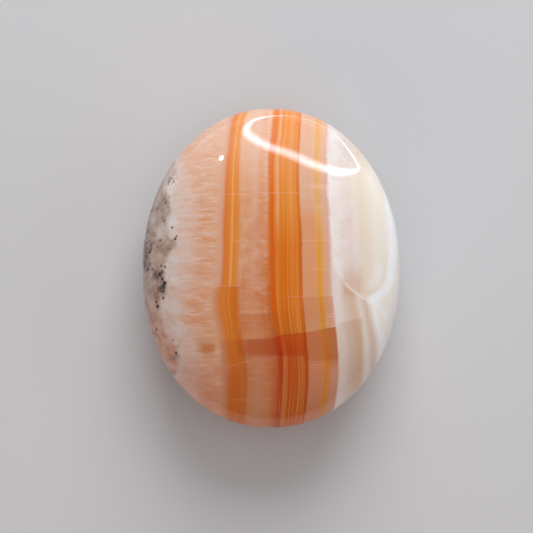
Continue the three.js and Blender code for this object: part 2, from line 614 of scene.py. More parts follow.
@dataclass(frozen=True)
class Laminae:
    """The fine growth lines within the bands, drawn about twice as coarse as they are so that they show."""

    spacing: float = 0.42  # from one line to the next
    length: float = 40.0  # how far along the band a line keeps its tone
    # How strong they are along the row of bands, as places and shares
    strength: tuple[Pair, ...] = (
        (-12.0, 0.0), (-10.0, 0.3), (-7.0, 0.3), (-6.0, 0.15), (-0.8, 0.25), (0.3, 0.3), (2.0, 0.6),
        (6.2, 0.6), (6.6, 0.1), (9.0, 0.12), (10.0, 0.5), (11.5, 0.2), (13.0, 0.08), (24.0, 0.12),
        (30.0, 0.1))
    lower: Ramp = (2.0, -14.0, 0.5, 1.2)  # their strength along the stone, towards the near end
    upper: Ramp = (12.0, 22.0, 0.0, 0.4)  # what the far end adds to that
    faint: Pair = (-19.2, -14.6)  # the block along the stone where they are fainter
    faint_fade: float = 1.0  # how wide the block's edges fade
    fainter: float = -0.6  # what it adds to their strength
    pale: str = "#E9B27C"  # the colour that the light lines turn to
    light: Ramp = (0.53, 0.7, 0.0, 0.6)  # how strong those are, by the noise
    deep: str = "#E9B89C"  # what the dark lines multiply the colour by
    dark: Ramp = (0.47, 0.33, 0.0, 0.7)  # how strong those are

    def coats(self, at: Fields) -> Iterator[Coat]:
        """Draws the lines.

        Args:
            at: The stone's coordinates.

        Returns:
            Their coats of colour.
        """
        add = at.graph.add
        stops = [(place, (tone, tone, tone, 1.0)) for place, tone in self.strength]
        amount = at.graph.course(at.growth, self.strength[0][0], self.strength[-1][0], stops)
        lower = add("MapRange", at.y, *self.lower)
        faint = at.graph.between(at.y, *self.faint, self.faint_fade)
        along = add("Math.MULTIPLY_ADD", faint, self.fainter, lower)
        along = add("Math.ADD", along, add("MapRange", at.y, *self.upper))
        amount = add("Math.MULTIPLY", amount, along)
        across = add("Math.MULTIPLY", at.growth, 1 / self.spacing)
        drawn = [add("Math.MULTIPLY", part, 1 / self.length) for part in (at.y, at.z)]
        sheet = add("CombineXYZ", across, *drawn)
        tone = add("TexNoise", {"Vector": sheet, "Scale": 1.0, "Detail": 2.0, "Roughness": 0.6})
        yield Coat(((tone, *self.light), amount), self.pale)
        yield Coat(((tone, *self.dark), amount), self.deep, True)


@dataclass(frozen=True)
class FibrousCalcite:
    """Fibres of calcite that grew across the bands: milky and orange streaks, strongest by the host rock."""

    strong: Ramp = (-12.9, -10.8, 1.0, 0.0)  # where in the row of bands the strong fibres end
    fibre_width: float = 0.8  # across a bundle of fibres
    fibre_length: float = 5.0  # along one
    milky: str = "#E6CDC2"  # the colour of the pale fibres
    pale: Ramp = (0.5, 0.64, 0.0, 0.6)  # how strong those are, by the noise
    stained: str = "#D68A4E"  # the colour of the orange ones
    orange: Ramp = (0.5, 0.36, 0.0, 0.3)  # how strong those are
    shoulder: Pair = (-6.6, -0.6)  # where in the row of bands the weaker fibres of the peach bands run
    shoulder_fade: float = 0.8  # how wide that zone's edges fade
    weaker: float = 0.24  # how strong those are
    frost: str = "#DFB4A6"  # the colour of the pink, frosty clouds there
    frosty: Ramp = (0.5, 0.66, 0.0, 0.34)  # how strong those are
    warmth: str = "#F3DFCB"  # what the clearer spots between those multiply the colour by
    warm: Ramp = (0.5, 0.36, 0.0, 0.45)  # how strong those are
    cloud: float = 2.8  # from one of those clouds to the next
    cloudy: Pair = (-9.0, 15.0)  # between which places along the stone they lie
    cloudy_fade: float = 8.0  # how wide they fade there
    flush: str = "#C0663A"  # the colour of the red streaks beside the main orange bands
    red: Ramp = (0.5, 0.38, 0.0, 0.3)  # how strong those are
    flushed: Pair = (-2.2, 0.3)  # where in the row of bands those run
    flush_fade: float = 1.2  # how wide they fade there
    blush_core: float = 1.6  # how far out the orange patches are whole
    # The orange patches
    blushes: tuple[Patch, ...] = (
        Patch(-13.6, 1.8, 1.9, 0.35, 0.75), Patch(-14.6, -0.6, 2.6, 1.4, 0.35),
        Patch(-17.8, 0.0, 2.2, 1.3, 0.3), Patch(-17.3, -7.6, 2.4, 1.3, 0.4),
        Patch(-17.0, -11.2, 3.0, 1.7, 0.6), Patch(-13.9, -17.5, 2.0, 1.2, 0.75),
        Patch(-14.0, 6.2, 2.4, 0.6, 0.5), Patch(-14.2, 10.4, 2.2, 0.5, 0.6),
        Patch(-13.4, 12.2, 2.0, 0.3, 0.6), Patch(-14.6, 8.8, 2.4, 0.3, 0.4),
        Patch(-13.6, 17.0, 2.4, 0.35, 0.4), Patch(-14.2, 24.6, 1.5, 0.35, 0.6),
        Patch(-12.4, 26.8, 1.6, 0.3, 0.55), Patch(-16.6, 21.2, 2.0, 0.5, 0.3),
    )

    def coats(self, at: Fields) -> Iterator[Coat]:
        """Draws the clouds, the fibres and the stained patches.

        Args:
            at: The stone's coordinates.

        Returns:
            Their coats of colour.
        """
        add = at.graph.add
        zone = add("MapRange.SMOOTHSTEP", at.growth, *self.strong)
        middle = at.graph.between(at.growth, *self.shoulder, self.shoulder_fade)
        amount = add("Math.MULTIPLY_ADD", middle, self.weaker, zone)
        bundle = at.streaks(self.fibre_width, self.fibre_length)
        fine = at.streaks(self.fibre_width / 3, self.fibre_length / 2)
        both = add("Math.MULTIPLY_ADD", fine, 0.5, add("Math.MULTIPLY", bundle, 0.5))
        clouds = {"Vector": at.place, "Scale": 1 / self.cloud, "Detail": 4.0, "Roughness": 0.55}
        clouds = add("TexNoise", clouds)
        cloudy = add("Math.MULTIPLY", at.graph.between(at.y, *self.cloudy, self.cloudy_fade), middle)
        yield Coat(((clouds, *self.frosty), cloudy), self.frost)
        yield Coat(((clouds, *self.warm), cloudy), self.warmth, True)
        flushed = at.graph.between(at.growth, *self.flushed, self.flush_fade)
        yield Coat(((fine, *self.red), flushed), self.flush)
        yield Coat(((both, *self.pale), amount), self.milky)
        orange = add("Math.MULTIPLY", add("MapRange", both, *self.orange), amount)
        yield Coat((at.patches(both, self.blush_core, self.blushes, orange),), self.stained)


@dataclass(frozen=True)
class HostRock:
    """The greyish brown dolomite that the calcite grew on, with milky patches, and white feathers by it."""

    # The rock's colours along the stone, as y and sRGB colour; towards the near end they are lighter and
    # redder, which is painted warm light
    tones_with_painted_warmth: tuple[tuple[float, str], ...] = (
        (-24.0, "#D4A691"), (-16.0, "#D5A28B"), (-10.0, "#C9A395"), (-4.0, "#B19B90"), (3.0, "#BDA598"),
        (8.0, "#B6A398"), (14.0, "#AC988D"), (20.0, "#BEABA1"), (25.0, "#D3B5A8"))
    cloud: float = 3.0  # the size of its milky and darker clouds
    milky: Ramp = (0.48, 0.34, 0.0, 0.5)  # how strong the milky ones are, by the noise
    shade: str = "#CFC4BE"  # what the darker ones multiply it by
    shaded: Ramp = (0.5, 0.66, 0.0, 0.9)  # how strong those are
    grain: float = 0.45  # the size of its grains
    sparkle: Ramp = (0.6, 0.75, 0.0, 0.4)  # how strong the pale grains are
    speck: str = "#1E1A18"  # the colour of its dark mineral grains
    gritty: Ramp = (0.44, 0.36, 0.0, 0.9)  # how strong those are
    inside: Ramp = (0.9, -0.7, 0.0, 1.0)  # how its edge fades into the calcite
    ragged: float = 3.6  # how far its edge strays
    rough: float = 1.8  # over what length it does
    feather: str = "#DCCDC6"  # the colour of the white fibres that start on it
    fibre: Pair = (0.7, 5.0)  # across a bundle of those, and along one
    uneven: Ramp = (0.35, 0.65, 0.3, 3.6)  # how far they reach into the calcite, by the noise
    feathery: Ramp = (0.1, 1.0, 0.7, 0.0)  # how strong they are, over their reach
    bloom: str = "#DEDCDD"  # the colour of the patches where they are densest
    blooming: Ramp = (0.3, 0.6, 0.25, 0.8)  # how strong those are, by the noise
    # Where those are
    blooms: tuple[Patch, ...] = (
        Patch(-21.8, 17.2, 1.5, 1.4), Patch(-21.6, 9.4, 1.2, 2.2), Patch(-20.8, 1.8, 1.4, 1.0),
        Patch(-21.6, -1.8, 1.3, 1.5), Patch(-21.8, -8.4, 2.4, 1.6), Patch(-20.8, -13.6, 2.0, 2.0),
    )
    # The patches that milky calcite has filled
    spots: tuple[Patch, ...] = (
        Patch(-24.4, 8.4, 1.6, 1.6), Patch(-21.6, -0.6, 1.4, 1.4), Patch(-20.6, -3.6, 1.2, 1.6),
        Patch(-21.2, -8.6, 1.4, 1.6), Patch(-22.2, -12.2, 1.4, 1.0),
    )
    # The patches that are crowded with dark mineral
    dark_spots: tuple[Patch, ...] = (
        Patch(-28.2, 3.6, 2.0, 4.4), Patch(-25.0, -1.6, 1.5, 1.6), Patch(-23.8, -4.4, 0.9, 1.0),
        Patch(-27.6, 13.0, 1.0, 5.0),
    )
    dark_tone: str = "#A0978F"  # what those multiply the rock's colour by
    core: float = 1.7  # how far out all those patches are whole
    vug: Patch = Patch(-21.8, 19.0, 1.5, 1.5)  # the small cavity that crystals line, with painted glints on them and painted shade between them
    crust: Ramp = (0.7, 1.2, 1.0, 0.0)  # how its edge fades
    crystal_white_and_glints: str = "#F4F2EF"  # the colour of its crystals, partly painted glints
    crystals: Ramp = (0.47, 0.4, 0.0, 0.9)  # how strong those are, by the noise
    painted_hollow_shade: str = "#8A7F77"  # painted shade: the colour of the gaps between them
    gaps: Ramp = (0.61, 0.69, 0.0, 0.9)  # how strong those are

    def coats(self, at: Fields) -> Iterator[Coat]:
        """Draws the feathery edge, the rock and the vug, whose glints and dark gaps are painted light and
        shade.

        Args:
            at: The stone's coordinates.

        Returns:
            Their coats of colour.
        """
        add = at.graph.add
        fibre = at.streaks(*self.fibre)
        clouds = {"Vector": at.place, "Scale": 1 / self.rough, "Detail": 4.0, "Roughness": 0.6}
        rough = add("TexNoise", clouds)
        ragged = add("Math.MULTIPLY_ADD", rough, self.ragged, at.edge)
        ragged = add("Math.SUBTRACT", ragged, self.ragged / 2)
        reach = add("MapRange", fibre, *self.uneven)
        yield Coat(((add("Math.DIVIDE", ragged, reach), *self.feathery),), self.feather)
        yield Coat(((fibre, *self.blooming), at.patches(rough, self.core, self.blooms)), self.bloom)

        # The rock's tones carry painted warm light towards the near end
        stops = [(y, linear(tone)) for y, tone in self.tones_with_painted_warmth]
        rock = at.graph.course(at.y, stops[0][0], stops[-1][0], stops)
        cloud = add("TexNoise", {**clouds, "Scale": 1 / self.cloud})
        grains = add("TexNoise", {"Vector": at.place, "Scale": 1 / self.grain, "Detail": 2.0})
        milky = at.patches(rough, self.core, self.spots, add("MapRange", cloud, *self.milky))
        crowded = at.patches(rough, self.core, self.dark_spots)
        rock = at.graph.lay(rock, (
            Coat(((cloud, *self.shaded),), self.shade, True),
            Coat((milky,), self.feather),
            Coat((crowded,), self.dark_tone, True),
            Coat(((grains, *self.gritty), crowded), self.speck),
            Coat(((grains, *self.sparkle),), self.feather)))
        yield Coat((add("MapRange.SMOOTHSTEP", ragged, *self.inside),), rock)

        # The vug: painted glints on its crystals and painted shade in the gaps
        far = add("VectorMath.LENGTH", at.offset(self.vug), output=1)
        crust = add("MapRange", far, *self.crust)
        yield Coat(((grains, *self.crystals), crust), self.crystal_white_and_glints)
        yield Coat(((grains, *self.gaps), crust), self.painted_hollow_shade)


@dataclass(frozen=True)
class FarEnd:
    """The thinner far end of the banded zone, painted milkier and brighter: partly the stone's own milkiness,
    and partly painted light, the pale veil and the extra light that fall on the far end, with painted shade
    on its white zone.
    """

    banded: Pair = (-11.0, 6.6)  # where in the row of bands it is milky and bright
    shoulder: Pair = (-6.9, -0.6)  # the peach bands before the main orange ones
    peach: Pair = (6.6, 9.6)  # the peach band beyond those
    fade: float = 0.3  # how wide the edges of those fade
    shoulder_fade: float = 0.8  # the same for the peach bands before the main ones
    fibrous: Ramp = (-11.6, -10.8, 1.0, 0.0)  # the fibrous zone
    white: Ramp = (12.6, 13.0, 0.0, 1.0)  # the white zone
    milky: Pair = (14.0, 28.0)  # between which places along the stone the milkiness sets in, which is partly a painted veil of light
    milk_and_veil: str = "#EBDDD4"  # its colour, partly the stone's milkiness and partly a painted veil of light
    all_over: float = 0.03  # how strong it is in all the bands
    in_shoulder: float = 0.23  # how much stronger it is in the shoulder
    in_fibres: float = 0.14  # how strong it is in the fibrous zone
    peach_milky: Ramp = (10.5, 15.5, 0.0, 0.25)  # the same along the stone, for the peach band
    peach_milk_and_veil: str = "#D9D2CC"  # the colour that this turns to, partly a painted veil of light
    painted_brightening: Ramp = (11.5, 17.5, 0.0, 0.035)  # painted light: how much brighter the bands are made, along the stone
    painted_dimming: Ramp = (20.0, 25.0, 0.0, -0.12)  # painted shade: the same for the white zone, which is made darker

    def coats(self, at: Fields) -> Iterator[Coat]:
        """Lays the milkiness, which is partly painted light: a pale veil towards the far end.

        Args:
            at: The stone's coordinates.

        Returns:
            Its coats of colour.
        """
        shoulder = at.graph.between(at.growth, *self.shoulder, self.shoulder_fade)
        milk_and_veil = at.graph.add("Math.MULTIPLY_ADD", shoulder, self.in_shoulder, self.all_over)
        banded = at.graph.between(at.growth, *self.banded, self.fade)
        yield Coat((milk_and_veil, (at.y, *self.milky, 0.0, 1.0), banded), self.milk_and_veil)
        peach = at.graph.between(at.growth, *self.peach, self.fade)
        yield Coat(((at.y, *self.peach_milky), peach), self.peach_milk_and_veil)
        yield Coat(((at.y, *self.milky, 0.0, self.in_fibres), (at.growth, *self.fibrous)), self.milk_and_veil)

    def light(self, at: Fields) -> Socket:
        """Works out the painted light: the bands are made brighter and the white zone darker towards the far
        end.

        Args:
            at: The stone's coordinates.

        Returns:
            What the brightness is multiplied by.
        """
        add = at.graph.add
        banded = at.graph.between(at.growth, *self.banded, self.fade)
        light = add("Math.MULTIPLY_ADD", add("MapRange", at.y, *self.painted_brightening), banded, 1.0)
        white = add("MapRange", at.growth, *self.white)
        return add("Math.MULTIPLY_ADD", add("MapRange", at.y, *self.painted_dimming), white, light)


@dataclass(frozen=True)
class Mottling:
    """Cloudy milkiness in the white zone."""

    zone: Pair = (12.9, 18.6)  # where in the row of bands it is
    fade: float = 1.2  # how wide it fades there
    size: float = 2.4  # from one cloud to the next
    shade: str = "#E8DCD6"  # what the clouds multiply the colour by
    clouds: Ramp = (0.42, 0.66, 0.0, 0.32)  # how strong that is, by the noise
    upper: Ramp = (-9.0, 2.0, 0.25, 1.0)  # the same along the stone

    def coats(self, at: Fields) -> Iterator[Coat]:
        """Draws the clouds.

        Args:
            at: The stone's coordinates.

        Returns:
            Their coat of colour.
        """
        cloud = {"Vector": at.place, "Scale": 1 / self.size, "Detail": 3.0, "Roughness": 0.6}
        cloud = at.graph.add("TexNoise", cloud)
        zone = at.graph.between(at.growth, *self.zone, self.fade)
        yield Coat(((cloud, *self.clouds), zone, (at.y, *self.upper)), self.shade, True)


@dataclass(frozen=True)
class Gleam:
    """A cleavage crack that shows as a thin light line across the bands."""

    y: float  # where it lies along the stone, at x = 0
    start: float  # its left end
    end: float  # its right end
    rise: float = 0.0  # how far it climbs for each millimetre to the right
    strength: float = 0.3  # how far it lightens the stone
    width: float = 0.26  # how wide it is


@dataclass(frozen=True)
class StainAndShadeBlock:
    """A block that multiplies the stone's colour. Some are blocks between two cleavage cracks that light goes
    deeper into, so that they look darker and redder; the others are painted shade and painted warm light
    towards the stone's near end.
    """

    top: tuple[Pair, ...]  # its upper edge, as x and y
    bottom: float  # how far down it reaches
    start: float  # its left end
    end: float  # its right end
    depth: str  # the sRGB colour that it multiplies the stone's colour by
    fade: float = 1.0  # how wide its lower edge is
    side_fades: Pair = (0.6, 0.6)  # how wide its left and right ends are
    top_fade: float = 0.3  # how wide its upper edge is
    in_white: bool = False  # whether it lies in the white zone, or in the bands before that


@dataclass(frozen=True)
class Cleavage:
    """The healed cracks of the calcite, the blocks between them, and painted shade towards the near end."""

    # The light lines
    gleams: tuple[Gleam, ...] = (
        Gleam(16.3, -14.4, 6.3, 0.03, 0.15), Gleam(17.7, 6.8, 12.0, 0.0, 0.2, 1.1),
        Gleam(13.4, 6.8, 12.4, 0.0, 0.14, 0.7), Gleam(12.9, -4.6, -1.8, -0.6, 0.15),
        Gleam(5.9, -8.5, -0.6, 0.0, 0.2, 0.45), Gleam(6.0, 6.6, 12.4, 0.0, 0.2),
        Gleam(-0.2, 7.4, 14.0, 0.0, 0.18), Gleam(-3.7, -15.4, -4.6, 0.0, 0.16),
        Gleam(-6.0, 1.4, 18.0, 0.0, 0.13), Gleam(-9.5, -6.9, -0.4, 0.0, 0.13, 0.6),
        Gleam(-10.1, 12.0, 15.0, 0.0, 0.4, 0.2), Gleam(-10.7, 12.4, 15.0, 0.0, 0.5, 0.2),
        Gleam(-11.3, 12.4, 15.0, 0.0, 0.45, 0.2), Gleam(-11.9, 12.0, 15.0, 0.0, 0.5, 0.2),
        Gleam(-12.5, 12.4, 15.0, 0.0, 0.4, 0.2), Gleam(-20.3, 8.2, 11.6, -0.08, 0.2, 0.14),
        Gleam(-21.0, 8.2, 11.2, -0.08, 0.16, 0.14), Gleam(-18.6, -9.6, -4.0, 0.3, 0.14),
        Gleam(-19.4, -6.2, 6.6, 0.0, 0.1), Gleam(-28.9, -11.4, -4.8, 0.0, 0.12),
        Gleam(-30.5, -5.6, 1.6, -0.25, 0.1),
    )
    # The long crack that the darker lower part starts at, which three blocks share; that darker lower part is
    # painted shade
    crack = ((6.0, -14.0), (7.3, -13.9), (10.2, -13.4), (14.1, -12.7))
    # The dark blocks, some of them painted shade
    blocks: tuple[StainAndShadeBlock, ...] = (
        StainAndShadeBlock(
            ((-10.0, -15.7), (-5.7, -15.5), (-2.0, -15.3), (0.6, -15.1), (1.6, -14.6), (4.7, -14.2),
             (7.3, -13.9)), -19.1, -6.2, 7.4, "#EFC2A4", 2.0, (5.0, 0.6)),
        StainAndShadeBlock(crack, -20.0, 7.2, 16.0, "#F3E2CB", 1.4),
        StainAndShadeBlock(crack, -21.4, 12.1, 16.0, "#F8E6C4", 1.6, (1.2, 0.6)),
        StainAndShadeBlock(((12.0, -0.6), (20.0, -0.6)), -6.0, 15.6, 19.8, "#F3E4D6", 3.0, (1.0, 2.0), 4.0, True),
        StainAndShadeBlock(((-16.6, -16.3), (-12.4, -16.3)), -18.7, -15.8, -12.3, "#F1E2D5", 1.4, (2.4, 0.7), 0.7),
        StainAndShadeBlock(((-7.0, 1.0), (0.2, 1.0)), -3.9, -6.4, -0.5, "#FAF0E4", 0.2, top_fade=5.0),
        # Painted warm light: the near end by the host rock is tinted redder
        StainAndShadeBlock(((-24.0, -22.0), (-10.0, -22.0)), -40.0, -26.0, -10.6, "#FFEEE6", 1.0, (1.0, 2.0), 8.0),
        # Painted shade: the left orange band darker towards the near end
        StainAndShadeBlock(((-11.0, -23.0), (-5.0, -23.0)), -40.0, -9.8, -6.6, "#FAEAE0", top_fade=6.0),
        StainAndShadeBlock(((-1.0, -11.0), (6.8, -11.0)), -14.6, -0.4, 6.5, "#F1F7FB", top_fade=6.0),
        StainAndShadeBlock(((6.0, -11.0), (14.0, -11.0)), -13.5, 6.5, 12.8, "#F3FAFF", 0.8, top_fade=6.0),
        # Painted shade: darker below the stained block, towards the near end
        StainAndShadeBlock(((-12.0, -15.9), (6.0, -14.0)), -27.5, -11.0, 7.0, "#F6ECE8", 9.0, (1.6, 0.6)),
        # Painted shade: the lower part below the crack darker
        StainAndShadeBlock(crack, -40.0, 7.2, 16.0, "#F3E0DE"),
        StainAndShadeBlock(((-6.9, -9.6), (0.4, -9.6)), -14.0, -6.6, -0.2, "#F8E9DE", 4.0),
        StainAndShadeBlock(((6.0, -6.1), (14.0, -6.1)), -12.0, 7.0, 13.4, "#F9EFE8", 5.0),
        # Painted shade: the white zone darker towards the near end
        StainAndShadeBlock(((14.4, -11.9), (15.6, -11.7), (17.2, -11.4), (19.4, -10.9), (20.6, -10.6)),
                     -26.0, 14.6, 20.0, "#F5EDE6", 8.0, (1.0, 1.0), in_white=True),
    )
    light: str = "#F3DCCD"  # the colour that the lines turn to
    half_width: float = 30.0  # half the width that the blocks' edges are laid out over
    white: Ramp = (12.5, 12.8, 0.0, 1.0)  # where in the row of bands the white zone starts
    broken: Ramp = (0.38, 0.6, 0.25, 1.0)  # how the lines come and go, by the noise
    broken_length: float = 1.7  # over what length they do
    bent: float = 0.8  # how far they stray
    bent_length: float = 5.0  # over what length they do
    tips: float = 1.6  # how wide their ends fade

    def coats(self, at: Fields) -> Iterator[Coat]:
        """Draws the blocks, some of which are painted shade, and then the lines.

        Args:
            at: The stone's coordinates.

        Returns:
            Their coats of colour.
        """
        add = at.graph.add
        half = self.half_width
        x_share = add("MapRange", at.x, -half, half, 0.0, 1.0)
        white = add("MapRange", at.growth, *self.white)
        stained = add("Math.SUBTRACT", 1.0, white)
        for block in self.blocks:
            middle = sum(y for _, y in block.top) / len(block.top)
            edge = at.graph.bend(x_share, half, middle, half, block.top)
            under = add("Math.SUBTRACT", edge, at.y)
            fades = ((at.y, block.bottom, block.fade), (at.x, block.start, block.side_fades[0]),
                     (at.x, block.end, -block.side_fades[1]))
            yield Coat((
                (under, -block.top_fade / 2, block.top_fade / 2, 0.0, 1.0),
                *(add("MapRange.SMOOTHSTEP", part, place - fade / 2, place + fade / 2, 0.0, 1.0)
                  for part, place, fade in fades),
                white if block.in_white else stained), block.depth, True)
        broken = add("TexNoise", {"Vector": at.place, "Scale": 1 / self.broken_length, "Detail": 2.0})
        broken = add("MapRange", broken, *self.broken)
        bent = add("TexNoise", {"Vector": at.place, "Scale": 1 / self.bent_length, "Detail": 1.0})
        bent = add("Math.MULTIPLY_ADD", bent, self.bent, at.y)
        bent = add("Math.SUBTRACT", bent, self.bent / 2)
        for gleam in self.gleams:
            line = add("Math.MULTIPLY_ADD", at.x, -gleam.rise, bent)
            line = at.graph.between(line, gleam.y - gleam.width / 2, gleam.y + gleam.width / 2, gleam.width)
            span = at.graph.between(at.x, gleam.start, gleam.end, self.tips)
            yield Coat((line, span, broken, gleam.strength), self.light)


@dataclass(frozen=True)
class Arc:
    """A white growth line that runs on part of a circle."""

    x: float  # the circle's centre, across the stone
    y: float  # the centre, along the stone
    radius: float  # the circle's radius
    middle: float  # where on the circle the line's middle is, in degrees from +X
    half_span: float  # how far it runs each way from there, in degrees
    width: float  # how wide it is
    strength: float  # how white it is


@dataclass(frozen=True)
class GrowthKnob:
    """The rounded knob of later calcite at the right, with white lines where growth paused."""

    left: Arc = Arc(27.7, 7.5, 15.9, -123.0, 18.0, 0.6, 0.45)  # its lower left edge
    inner: Arc = Arc(19.9, -0.6, 3.5, -20.0, 58.0, 1.9, 0.28)  # the line inside it
    right: Arc = Arc(19.9, -0.6, 6.5, -40.0, 46.0, 1.9, 0.95)  # its lower right edge
    upper: Arc = Arc(-6.35, 6.0, 33.3, 2.0, 17.0, 1.7, 0.85)  # the line above it
    lower: Arc = Arc(17.6, -13.4, 8.0, 34.0, 26.0, 1.1, 0.65)  # the line below it
    rim: Ramp = (-0.2, 0.2, 0.0, 1.0)  # how sharp its edges are
    top: Ramp = (-1.0, 3.0, 1.0, 0.0)  # where along the stone they are lost in the white zone
    beyond: Ramp = (21.4, 21.8, 0.0, 1.0)  # right of this its lower right edge counts
    softest: float = 0.8  # how soft the widest lines are
    tips: float = 0.6  # from what share of its half span on a line fades
    white: str = "#F5F5F7"  # the colour of the lines

    def outside(self, at: Fields, arc: Arc) -> Socket:
        """How far the shaded point is outside a circle."""
        far = at.graph.add("VectorMath.LENGTH", at.offset(Patch(arc.x, arc.y)), output=1)
        return at.graph.add("Math.SUBTRACT", far, arc.radius)

    def below(self, at: Fields) -> Socket:
        """Masks what lies below the knob.

        Args:
            at: The stone's coordinates.

        Returns:
            1 there and 0 elsewhere.
        """
        add = at.graph.add
        left, right = (add("MapRange", self.outside(at, arc), *self.rim) for arc in (self.left, self.right))
        right = add("Math.MULTIPLY", right, add("MapRange", at.x, *self.beyond))
        either = add("Math.MAXIMUM", left, right)
        return add("Math.MULTIPLY", either, add("MapRange.SMOOTHSTEP", at.y, *self.top))

    def coats(self, at: Fields) -> Iterator[Coat]:
        """Draws the white lines.

        Args:
            at: The stone's coordinates.

        Returns:
            Their coats of colour.
        """
        add = at.graph.add
        for arc in (self.left, self.inner, self.right, self.upper, self.lower):
            soft = min(arc.width, self.softest)
            line = at.graph.between(self.outside(at, arc), -arc.width / 2, arc.width / 2, soft)
            away = add("VectorMath.NORMALIZE", at.offset(Patch(arc.x, arc.y)))
            turn = math.radians(arc.middle)
            toward = add("VectorMath.DOT_PRODUCT", away, (math.cos(turn), math.sin(turn), 0.0), output=1)
            outer, inner = (math.cos(math.radians(arc.half_span * share)) for share in (1.0, self.tips))
            span = add("MapRange.SMOOTHSTEP", toward, outer, inner, 0.0, arc.strength)
            yield Coat((line, span), self.white)


@dataclass(frozen=True)
class Pit:
    """A hole or a dark grain in the host rock."""

    x: float  # its place across the stone
    y: float  # its place along the stone
    radius: float  # its radius at the surface
    depth: float = 0.0  # how deep it is, or 0 for a grain that was polished flush
    dark: float = 1.0  # how much it darkens the stone


@dataclass(frozen=True)
class PolishedBandedCalcite:
    """Banded calcite (onyx marble), ground and then polished: glossy, and a little translucent.

    The polish gives sharp, mirror-like lights, and light that spreads in the stone softens the bands.
    """

    surfaces: GrowthSurfaces = GrowthSurfaces()
    bands: ColourBands = ColourBands()
    laminae: Laminae = Laminae()
    fibres: FibrousCalcite = FibrousCalcite()
    far_end: FarEnd = FarEnd()
    mottling: Mottling = Mottling()
    cleavage: Cleavage = Cleavage()
    knob: GrowthKnob = GrowthKnob()
    rock: HostRock = HostRock()
    ior: float = 1.6  # calcite's index, the mean of its two rays
    roughness: float = 0.05  # that of a polished stone
    rock_roughness: float = 0.16  # that of the softer host rock
    half_seam: float = 0.5  # half the width over which the one turns into the other
    scatter: float = 0.22  # how much of the light spreads in the stone
    scatter_length: tuple[float, float, float] = (1.2, 0.6, 0.35)  # how far red, green and blue spread

    def build(self, form: StoneForm) -> bpy.types.Material:
        """Makes the material.

        Args:
            form: The stone's shape.

        Returns:
            The finished material.
        """
        material = bpy.data.materials.new("polished banded calcite")
        graph = Graph(material)
        at = self.surfaces.fields(graph, form)
        colour = self.bands.paint(at, self.knob.below(at))
        for layer in (self.laminae, self.fibres, self.far_end):
            colour = graph.lay(colour, layer.coats(at))
        # Painted light and shade: the far end's bands are brightened and its white zone darkened
        colour = graph.add("VectorMath.SCALE", {0: colour, "Scale": self.far_end.light(at)})
        for layer in (self.mottling, self.cleavage, self.knob, self.rock):
            colour = graph.lay(colour, layer.coats(at))
        speck = graph.add("Attribute", output=2, attribute_name="dark_grain")
        surface = graph.add("BsdfPrincipled", {
            "Base Color": graph.lay(colour, (Coat((speck,), self.rock.speck),)),
            "Roughness": graph.add(
                "MapRange", at.edge, self.half_seam, -self.half_seam, self.roughness, self.rock_roughness),
            "IOR": self.ior,
            "Subsurface Weight": self.scatter,
            "Subsurface Radius": self.scatter_length,
            "Subsurface Scale": METRES,
        })
        graph.add("OutputMaterial", surface)
        return material


